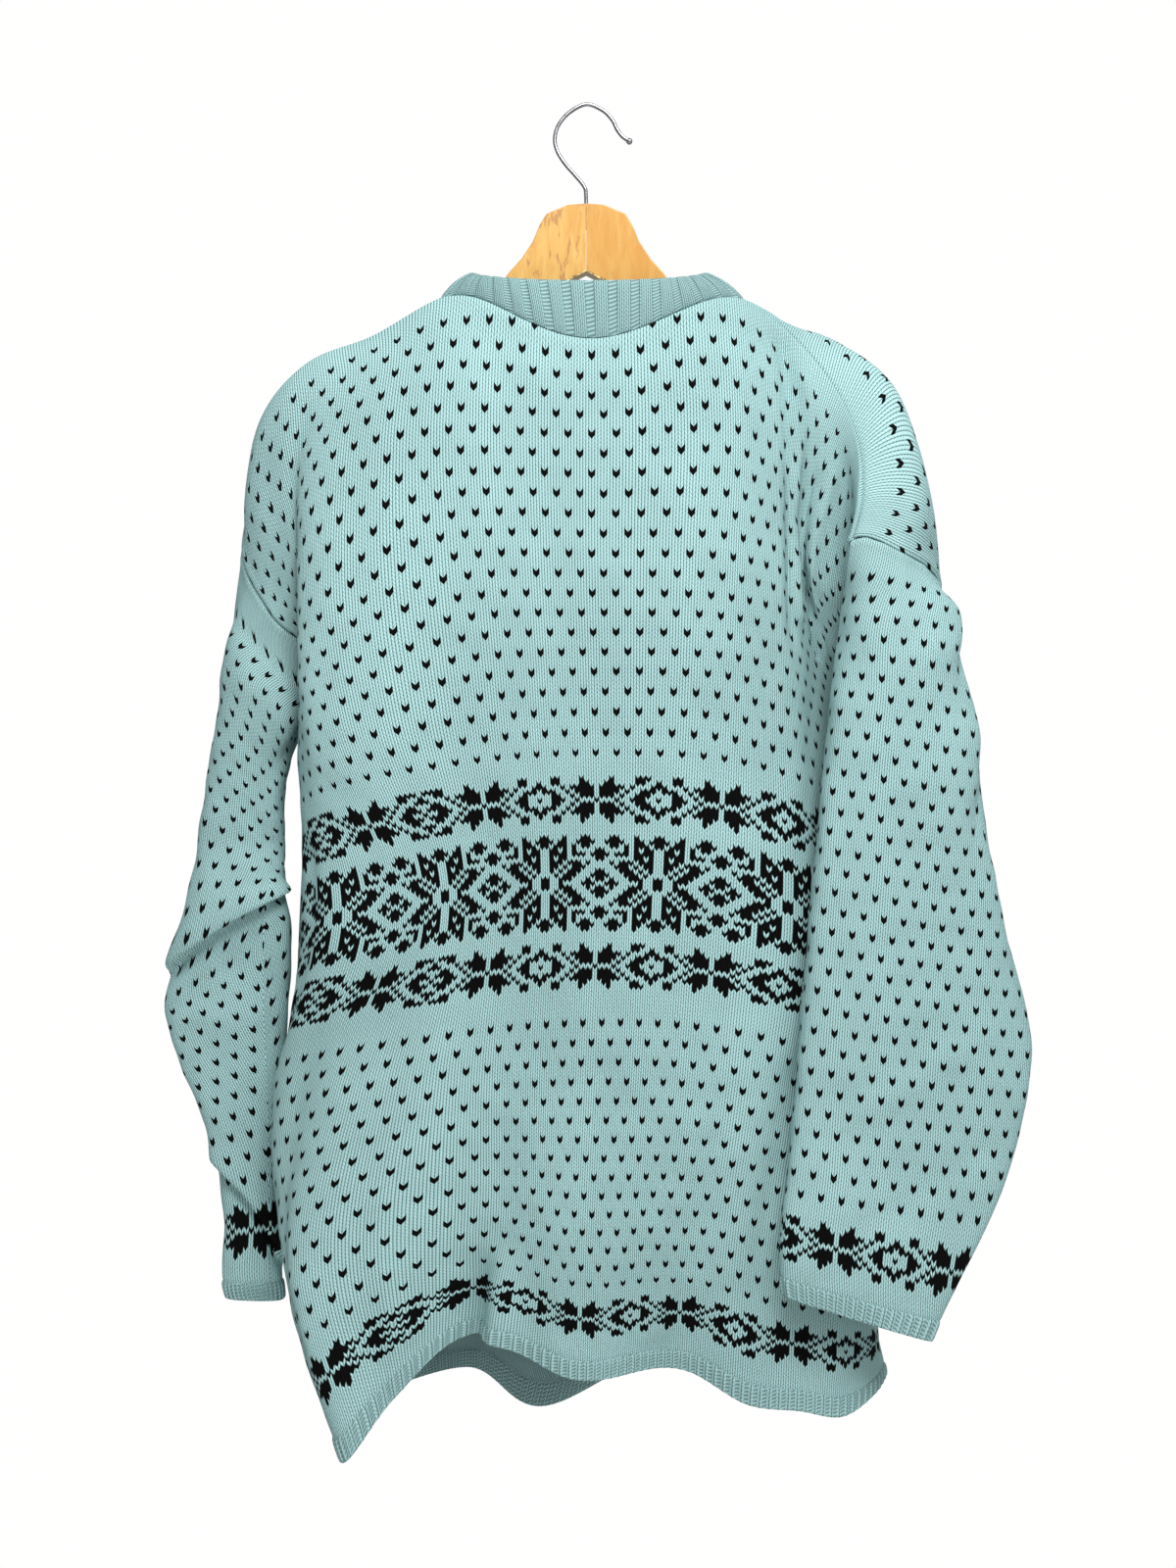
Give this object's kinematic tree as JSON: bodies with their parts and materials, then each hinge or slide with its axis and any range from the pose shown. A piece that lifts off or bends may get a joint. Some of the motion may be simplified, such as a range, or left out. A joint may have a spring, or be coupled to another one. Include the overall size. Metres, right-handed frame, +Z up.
{
  "type": "knitted sweater on a wooden hanger",
  "caption": "Loose drop-shoulder sweater knitted in the Norwegian manner, with patterned bands and flecks, hung with its back to the front on a wooden hanger.",
  "frame": {"origin": "underside of the crown of the hanger's hook, where a rail or wall hook carries it", "axes": "+Z up, -Y out of the sweater's back, +X to the right of a person who looks at its back"},
  "size_m": [0.6281, 0.1889, 0.9856],
  "materials": {
    "knit": "stocking stitch in matt wool, light teal with black motifs",
    "rib": "ribbed matt wool, light teal",
    "beech": "satin lacquer",
    "steel": "bright drawn wire",
    "brass": "dark and worn"
  },
  "bodies": {
    "root": {"back_panel": "knit", "front_panel": "knit", "sleeve_left": "knit", "sleeve_right": "knit", "neckband": "rib", "hem_band_back": "rib", "hem_band_front": "rib", "cuff_left": "rib", "cuff_right": "rib", "hanger_left": "beech", "hanger_right": "beech", "hanger_hook": "steel", "hanger_plate": "brass"}
  },
  "joints": []
}
